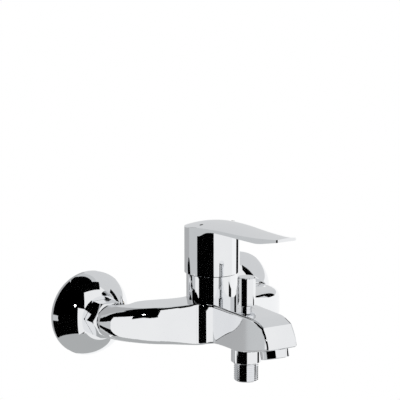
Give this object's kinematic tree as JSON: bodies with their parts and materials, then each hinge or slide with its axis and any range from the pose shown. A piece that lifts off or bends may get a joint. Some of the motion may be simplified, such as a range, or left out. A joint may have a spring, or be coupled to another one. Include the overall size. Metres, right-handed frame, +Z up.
{
  "type": "wall mounted bath faucet",
  "caption": "Chromed wall mounted single-lever bath and shower mixer with domed wall roses, swept arms, square spout, pull-up diverter and threaded hose outlet.",
  "frame": {"origin": "on the wall plane, midway between the two supply connections", "axes": "+X to the right seen from in front, -Y out of the wall, +Z up"},
  "size_m": [0.2246, 0.211, 0.1326],
  "materials": {
    "bright_chrome": "polished chromium plate over nickel",
    "machined_brass": "machined, bright",
    "black_rubber": "matt",
    "grey_fibre": "matt",
    "stainless": "plain",
    "white_ceramic": "lapped ceramic",
    "white_acetal": "moulded",
    "grey_acetal": "moulded",
    "dot_dark": "moulded"
  },
  "bodies": {
    "mixer_body": {"body_casting": "bright_chrome", "left_wall_union": "machined_brass", "left_rosette": "bright_chrome", "left_union_nut": "bright_chrome", "left_inlet_nipple": "machined_brass", "left_seal_washer": "grey_fibre", "left_filter_screen": "stainless", "right_wall_union": "machined_brass", "right_rosette": "bright_chrome", "right_union_nut": "bright_chrome", "right_inlet_nipple": "machined_brass", "right_seal_washer": "grey_fibre", "right_filter_screen": "stainless", "cartridge_base": "grey_acetal", "cartridge_seals": "black_rubber", "fixed_ceramic_disc": "white_ceramic", "cartridge_housing": "white_acetal", "cartridge_nut": "machined_brass", "diverter_bonnet": "bright_chrome", "diverter_o_ring": "black_rubber", "diverter_spring": "stainless", "hose_outlet": "bright_chrome", "outlet_o_ring": "black_rubber", "check_valve_body": "white_acetal", "check_valve_spring": "stainless", "aerator_housing": "bright_chrome", "aerator_insert": "white_acetal", "aerator_gasket": "black_rubber"},
    "turret": {"swivel_guide": "grey_acetal", "pivot_pin": "stainless"},
    "mixing_disc": {"moving_ceramic_disc": "white_ceramic", "disc_carrier": "white_acetal"},
    "lever": {"lever_stem": "machined_brass", "handle": "bright_chrome", "handle_set_screw": "stainless", "set_screw_plug": "grey_acetal", "hot_index_dot": "dot_dark", "cold_index_dot": "dot_dark"},
    "diverter": {"diverter_knob": "bright_chrome", "diverter_rod": "stainless", "diverter_valve_disc": "machined_brass", "diverter_seal": "black_rubber"},
    "check_poppet": {"check_valve_poppet": "grey_acetal"}
  },
  "joints": [
    {"name": "temperature_swivel", "type": "hinge", "parent": "mixer_body", "child": "turret", "pos_m": [0, -0.0827, 0.034], "axis": [0, 0, 1], "range_deg": [-50, 50]},
    {"name": "flow_lift", "type": "hinge", "parent": "turret", "child": "lever", "pos_m": [0, -0.0827, 0.034], "axis": [-1, 0, 0], "range_deg": [0, 20]},
    {"name": "disc_slide", "type": "slide", "parent": "turret", "child": "mixing_disc", "axis": [0, -1, 0], "range_m": [0, 0.0048]},
    {"name": "diverter_pull", "type": "slide", "parent": "mixer_body", "child": "diverter", "axis": [0, 0, 1], "range_m": [0, 0.008], "stiffness_N_per_m": 150, "springref_m": -0.01, "deforming": ["diverter_spring"]},
    {"name": "check_valve_open", "type": "slide", "parent": "mixer_body", "child": "check_poppet", "axis": [0, 0, -1], "range_m": [0, 0.0025], "stiffness_N_per_m": 60, "springref_m": -0.003, "deforming": ["check_valve_spring"]}
  ],
  "couplings": [
    {"joint": "disc_slide", "follows": "flow_lift", "m_per_rad": 0.0135}
  ]
}
